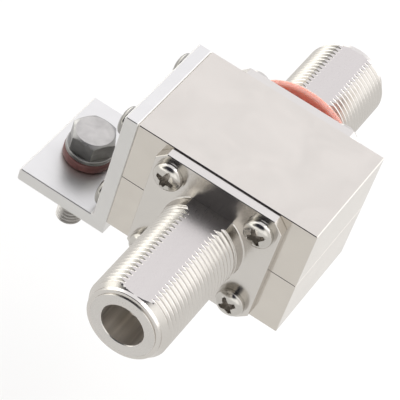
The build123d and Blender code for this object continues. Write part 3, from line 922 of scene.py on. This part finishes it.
def lobe(tree, direction, start, full, colour):
    """Soft round patch on the sky, by the cosine of the angle to its direction: nothing up
    to the start, all of its colour from full on."""
    coords = add_node(tree, "ShaderNodeTexCoord")
    dot = add_node(tree, "ShaderNodeVectorMath", operation="DOT_PRODUCT")
    dot.inputs[1].default_value = aimed(direction)
    tree.links.new(coords.outputs["Generated"], dot.inputs[0])
    ramp = add_node(tree, "ShaderNodeMapRange", interpolation_type="SMOOTHSTEP")
    ramp.inputs["From Min"].default_value = start
    ramp.inputs["From Max"].default_value = full
    tree.links.new(dot.outputs["Value"], ramp.inputs["Value"])
    return mixed(tree, ramp.outputs["Result"], (0, 0, 0), colour)


def seen_directly(tree):
    """One for camera, glossy and transmission rays, zero for the light that falls on things."""
    path = add_node(tree, "ShaderNodeLightPath")
    most = path.outputs["Is Camera Ray"]
    for name in ("Is Glossy Ray", "Is Transmission Ray"):
        node = add_node(tree, "ShaderNodeMath", operation="MAXIMUM")
        tree.links.new(most, node.inputs[0])
        tree.links.new(path.outputs[name], node.inputs[1])
        most = node.outputs["Value"]
    return most


def make_world():
    """Light tent: pale all round, brighter behind, dark on the side the camera stands, with
    a dim gap left of that."""
    world = bpy.data.worlds.new("light_tent")
    world.use_nodes = True
    tree = world.node_tree
    back = tree.nodes["Background"]
    tent = lobe(tree, (-0.18, 0.68, 0.71), -0.1, 0.85, (0.80, 0.805, 0.885))
    left = lobe(tree, (-0.93, -0.15, 0.10), 0.40, 0.85, (1.05, 1.04, 0.96))
    left_strip = lobe(tree, (-0.73, 0.67, 0.14), 0.89, 0.98, (1.5, 1.5, 1.42))
    right_strip = lobe(tree, (0.69, 0.67, 0.27), 0.88, 0.97, (0.70, 0.70, 0.72))
    front = lobe(tree, (-0.15, -0.97, 0.05), 0.45, 0.85, (1.10, 1.10, 1.10))
    right = lobe(tree, (0.95, 0.0, 0.20), 0.30, 0.72, (0.62, 0.61, 0.60))
    light = (0.52, 0.52, 0.52)
    for part in (tent, left, left_strip, front, right, right_strip):
        light = mixed(tree, 1.0, light, part, "ADD")
    gap = lobe(tree, (-0.60, -0.74, 0.31), 0.955, 0.985, (1, 1, 1))
    dark = lobe(tree, (-0.20, -0.66, 0.72), 0.76, 0.90, (1, 1, 1))
    light = mixed(tree, gap, light, (0.55, 0.55, 0.52))
    light = mixed(tree, dark, light, (0.03, 0.03, 0.045))
    camera = add_node(tree, "ShaderNodeLightPath")
    shown = mixed(tree, camera.outputs["Is Camera Ray"], light, (1, 1, 1))
    tree.links.new(shown, back.inputs["Color"])
    bpy.context.scene.world = world


def make_floor(level):
    """Plain white floor under the part, which keeps its shadow."""
    reach = 1.2
    mesh = bpy.data.meshes.new("floor")
    spots = ((-reach, -reach), (reach, -reach), (reach, reach), (-reach, reach))
    mesh.from_pydata([(x, y, level) for x, y in spots], [], [(0, 1, 2, 3)])
    material = bpy.data.materials.new("white_floor")
    material.use_nodes = True
    tree = material.node_tree
    tree.nodes.remove(tree.nodes["Principled BSDF"])
    matte = add_node(tree, "ShaderNodeBsdfDiffuse")
    matte.inputs["Color"].default_value = (0.36, 0.36, 0.36, 1)
    glow = add_node(tree, "ShaderNodeEmission")
    tree.links.new(seen_directly(tree), glow.inputs["Strength"])
    glow.inputs["Color"].default_value = (0.54, 0.535, 0.52, 1)
    both = add_node(tree, "ShaderNodeAddShader")
    tree.links.new(matte.outputs[0], both.inputs[0])
    tree.links.new(glow.outputs[0], both.inputs[1])
    tree.links.new(both.outputs[0], tree.nodes["Material Output"].inputs["Surface"])
    mesh.materials.append(material)
    floor = bpy.data.objects.new("floor", mesh)
    bpy.context.scene.collection.objects.link(floor)


def make_lamp(name, place, target, side, power):
    """Soft square lamp that the camera itself doesn't see."""
    data = bpy.data.lights.new(name, "AREA")
    data.shape = "RECTANGLE"
    data.size = side
    data.size_y = side
    data.energy = power
    lamp = bpy.data.objects.new(name, data)
    bpy.context.scene.collection.objects.link(lamp)
    lamp.visible_camera = False
    lamp.location = place
    lamp.rotation_mode = "QUATERNION"
    lamp.rotation_quaternion = (Vector(target) - Vector(place)).to_track_quat("-Z", "Y")


def make_camera():
    """Camera where the photograph was taken from, with its long lens."""
    data = bpy.data.cameras.new("camera")
    data.sensor_width = 36.0
    data.lens = 199.35
    data.clip_start = 0.02
    data.clip_end = 50.0
    forward = aimed((-0.1947, 0.6734, -0.7132))
    up = Vector((-0.5257, 0.5423, 0.6555))
    right = forward.cross(up).normalized()
    up = right.cross(forward)
    turn = Matrix((right, up, -forward)).transposed()
    camera = bpy.data.objects.new("camera", data)
    bpy.context.scene.collection.objects.link(camera)
    place = Vector((0.0701, -0.2845, 0.2742))
    camera.matrix_world = Matrix.Translation(place) @ turn.to_4x4()
    bpy.context.scene.camera = camera


class ARRESTOR_OT_stage(bpy.types.Operator):
    """Floor, light tent, one soft lamp and the camera"""

    bl_idname = "arrestor.make_stage"
    bl_label = "Make the stage"

    def execute(self, context):
        make_world()
        drop = 0.045
        make_floor(CAD_BOX[0].z - drop)
        middle = (0, -0.02, 0)
        make_lamp("key_lamp", (0.35, 0.42, 0.80), middle, side=0.35, power=1.6)
        make_camera()
        context.scene.view_settings.view_transform = "Standard"
        return {"FINISHED"}


class ARRESTOR_PT_sidebar(bpy.types.Panel):
    """Sizes, colours and the steps in order"""

    bl_idname = "ARRESTOR_PT_sidebar"
    bl_label = "Coax lightning arrestor"
    bl_space_type = "VIEW_3D"
    bl_region_type = "UI"
    bl_category = "Arrestor"

    def draw(self, context):
        for group in (context.scene.arrestor_sizes, context.scene.arrestor_colours):
            box = self.layout.box()
            for name in group.__annotations__:
                box.prop(group, name)
        for step in STEPS:
            self.layout.operator(step.bl_idname)


STEPS = (
    ARRESTOR_OT_jacks,
    ARRESTOR_OT_screws,
    ARRESTOR_OT_gasket,
    ARRESTOR_OT_ground_bolt,
    ARRESTOR_OT_finishes,
    ARRESTOR_OT_stage,
)
CLASSES = (ArrestorSizes, ArrestorColours, *STEPS, ARRESTOR_PT_sidebar)


def register():
    for item in CLASSES:
        bpy.utils.register_class(item)
    bpy.types.Scene.arrestor_sizes = PointerProperty(type=ArrestorSizes)
    bpy.types.Scene.arrestor_colours = PointerProperty(type=ArrestorColours)


def unregister():
    del bpy.types.Scene.arrestor_colours
    del bpy.types.Scene.arrestor_sizes
    for item in reversed(CLASSES):
        bpy.utils.unregister_class(item)


def main():
    register()
    bpy.ops.arrestor.make_jacks()
    bpy.ops.arrestor.make_screws()
    bpy.ops.arrestor.make_gasket()
    bpy.ops.arrestor.make_ground_bolt()
    bpy.ops.arrestor.dress_nodes()
    bpy.ops.arrestor.make_stage()


if __name__ == "__main__":
    main()
